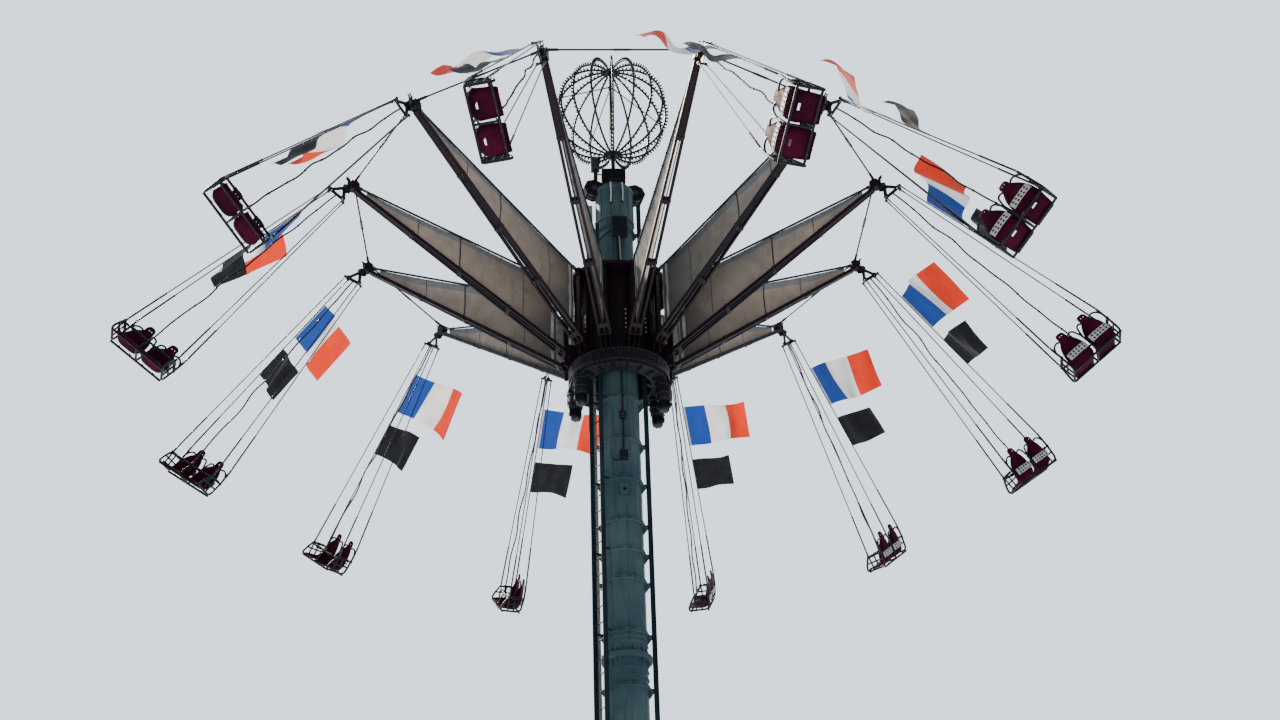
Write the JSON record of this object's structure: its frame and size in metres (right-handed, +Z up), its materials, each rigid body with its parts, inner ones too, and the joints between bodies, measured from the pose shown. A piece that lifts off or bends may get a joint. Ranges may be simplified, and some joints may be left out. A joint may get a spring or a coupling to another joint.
{
  "type": "tower chair swing ride",
  "caption": "Rising tower swing ride: steel column with rails and ladder, a lifting carriage, a turning star of sail-covered arms, two-seat chairs on cables with flags, and an open globe on top",
  "frame": {"origin": "middle of the underside of the base flange", "axes": "+Z up along the column, -Y to the side the picture was taken from, +X to its right"},
  "size_m": [17.6528, 17.6528, 25.34],
  "materials": {
    "tower_steel": "blue-grey paint, satin, weathered",
    "maroon_steel": "very dark maroon paint, satin",
    "teal_steel": "dark teal paint, satin",
    "machinery": "near-black paint, oily",
    "cable_steel": "dark greased steel",
    "sailcloth": "coated pale tan sailcloth, matt",
    "seat_shell": "burgundy moulded shell"
  },
  "bodies": {
    "tower": {"column_lower": "tower_steel", "column_upper": "tower_steel", "ladder": "teal_steel", "tower_head": "maroon_steel", "crown_globe": "teal_steel"},
    "carriage": {"lift_carriage": "machinery", "drive_unit_left": "machinery", "drive_unit_right": "machinery"},
    "star": {"hub_drum": "maroon_steel", "slewing_ring": "machinery", "shelf_ring": "maroon_steel", "tie_rod_ring": "cable_steel", "arm_01": "maroon_steel", "arm_02": "maroon_steel", "arm_03": "maroon_steel", "arm_04": "maroon_steel", "arm_05": "maroon_steel", "arm_06": "maroon_steel", "arm_07": "maroon_steel", "arm_08": "maroon_steel", "arm_09": "maroon_steel", "arm_10": "maroon_steel", "arm_11": "maroon_steel", "arm_12": "maroon_steel", "sail_01": "sailcloth", "sail_02": "sailcloth", "sail_03": "sailcloth", "sail_04": "sailcloth", "sail_05": "sailcloth", "sail_06": "sailcloth", "sail_07": "sailcloth", "sail_08": "sailcloth", "sail_09": "sailcloth", "sail_10": "sailcloth", "sail_11": "sailcloth", "sail_12": "sailcloth"},
    "swing_01": {"suspension_01": "cable_steel", "chair_01": "seat_shell"},
    "swing_02": {"suspension_02": "cable_steel", "chair_02": "seat_shell"},
    "swing_03": {"suspension_03": "cable_steel", "chair_03": "seat_shell"},
    "swing_04": {"suspension_04": "cable_steel", "chair_04": "seat_shell"},
    "swing_05": {"suspension_05": "cable_steel", "chair_05": "seat_shell"},
    "swing_06": {"suspension_06": "cable_steel", "chair_06": "seat_shell"},
    "swing_07": {"suspension_07": "cable_steel", "chair_07": "seat_shell"},
    "swing_08": {"suspension_08": "cable_steel", "chair_08": "seat_shell"},
    "swing_09": {"suspension_09": "cable_steel", "chair_09": "seat_shell"},
    "swing_10": {"suspension_10": "cable_steel", "chair_10": "seat_shell"},
    "swing_11": {"suspension_11": "cable_steel", "chair_11": "seat_shell"},
    "swing_12": {"suspension_12": "cable_steel", "chair_12": "seat_shell"}
  },
  "joints": [
    {"name": "lift", "type": "slide", "parent": "tower", "child": "carriage", "axis": [0, 0, 1], "range_m": [-15.2, 0]},
    {"name": "star_turn", "type": "hinge", "parent": "carriage", "child": "star", "pos_m": [0, 0, 17.61], "axis": [0, 0, 1], "continuous": true},
    {"name": "swing_01_pivot", "type": "hinge", "parent": "star", "child": "swing_01", "pos_m": [-1.37045, -5.11458, 21.19], "axis": [-0.9659, 0.2588, 0], "range_deg": [-42, 18]},
    {"name": "swing_02_pivot", "type": "hinge", "parent": "star", "child": "swing_02", "pos_m": [1.37045, -5.11458, 21.19], "axis": [-0.9659, -0.2588, 0], "range_deg": [-42, 18]},
    {"name": "swing_03_pivot", "type": "hinge", "parent": "star", "child": "swing_03", "pos_m": [3.74413, -3.74413, 21.19], "axis": [-0.7071, -0.7071, 0], "range_deg": [-42, 18]},
    {"name": "swing_04_pivot", "type": "hinge", "parent": "star", "child": "swing_04", "pos_m": [5.11458, -1.37045, 21.19], "axis": [-0.2588, -0.9659, 0], "range_deg": [-42, 18]},
    {"name": "swing_05_pivot", "type": "hinge", "parent": "star", "child": "swing_05", "pos_m": [5.11458, 1.37045, 21.19], "axis": [0.2588, -0.9659, 0], "range_deg": [-42, 18]},
    {"name": "swing_06_pivot", "type": "hinge", "parent": "star", "child": "swing_06", "pos_m": [3.74413, 3.74413, 21.19], "axis": [0.7071, -0.7071, 0], "range_deg": [-42, 18]},
    {"name": "swing_07_pivot", "type": "hinge", "parent": "star", "child": "swing_07", "pos_m": [1.37045, 5.11458, 21.19], "axis": [0.9659, -0.2588, 0], "range_deg": [-42, 18]},
    {"name": "swing_08_pivot", "type": "hinge", "parent": "star", "child": "swing_08", "pos_m": [-1.37045, 5.11458, 21.19], "axis": [0.9659, 0.2588, 0], "range_deg": [-42, 18]},
    {"name": "swing_09_pivot", "type": "hinge", "parent": "star", "child": "swing_09", "pos_m": [-3.74413, 3.74413, 21.19], "axis": [0.7071, 0.7071, 0], "range_deg": [-42, 18]},
    {"name": "swing_10_pivot", "type": "hinge", "parent": "star", "child": "swing_10", "pos_m": [-5.11458, 1.37045, 21.19], "axis": [0.2588, 0.9659, 0], "range_deg": [-42, 18]},
    {"name": "swing_11_pivot", "type": "hinge", "parent": "star", "child": "swing_11", "pos_m": [-5.11458, -1.37045, 21.19], "axis": [-0.2588, 0.9659, 0], "range_deg": [-42, 18]},
    {"name": "swing_12_pivot", "type": "hinge", "parent": "star", "child": "swing_12", "pos_m": [-3.74413, -3.74413, 21.19], "axis": [-0.7071, 0.7071, 0], "range_deg": [-42, 18]}
  ]
}
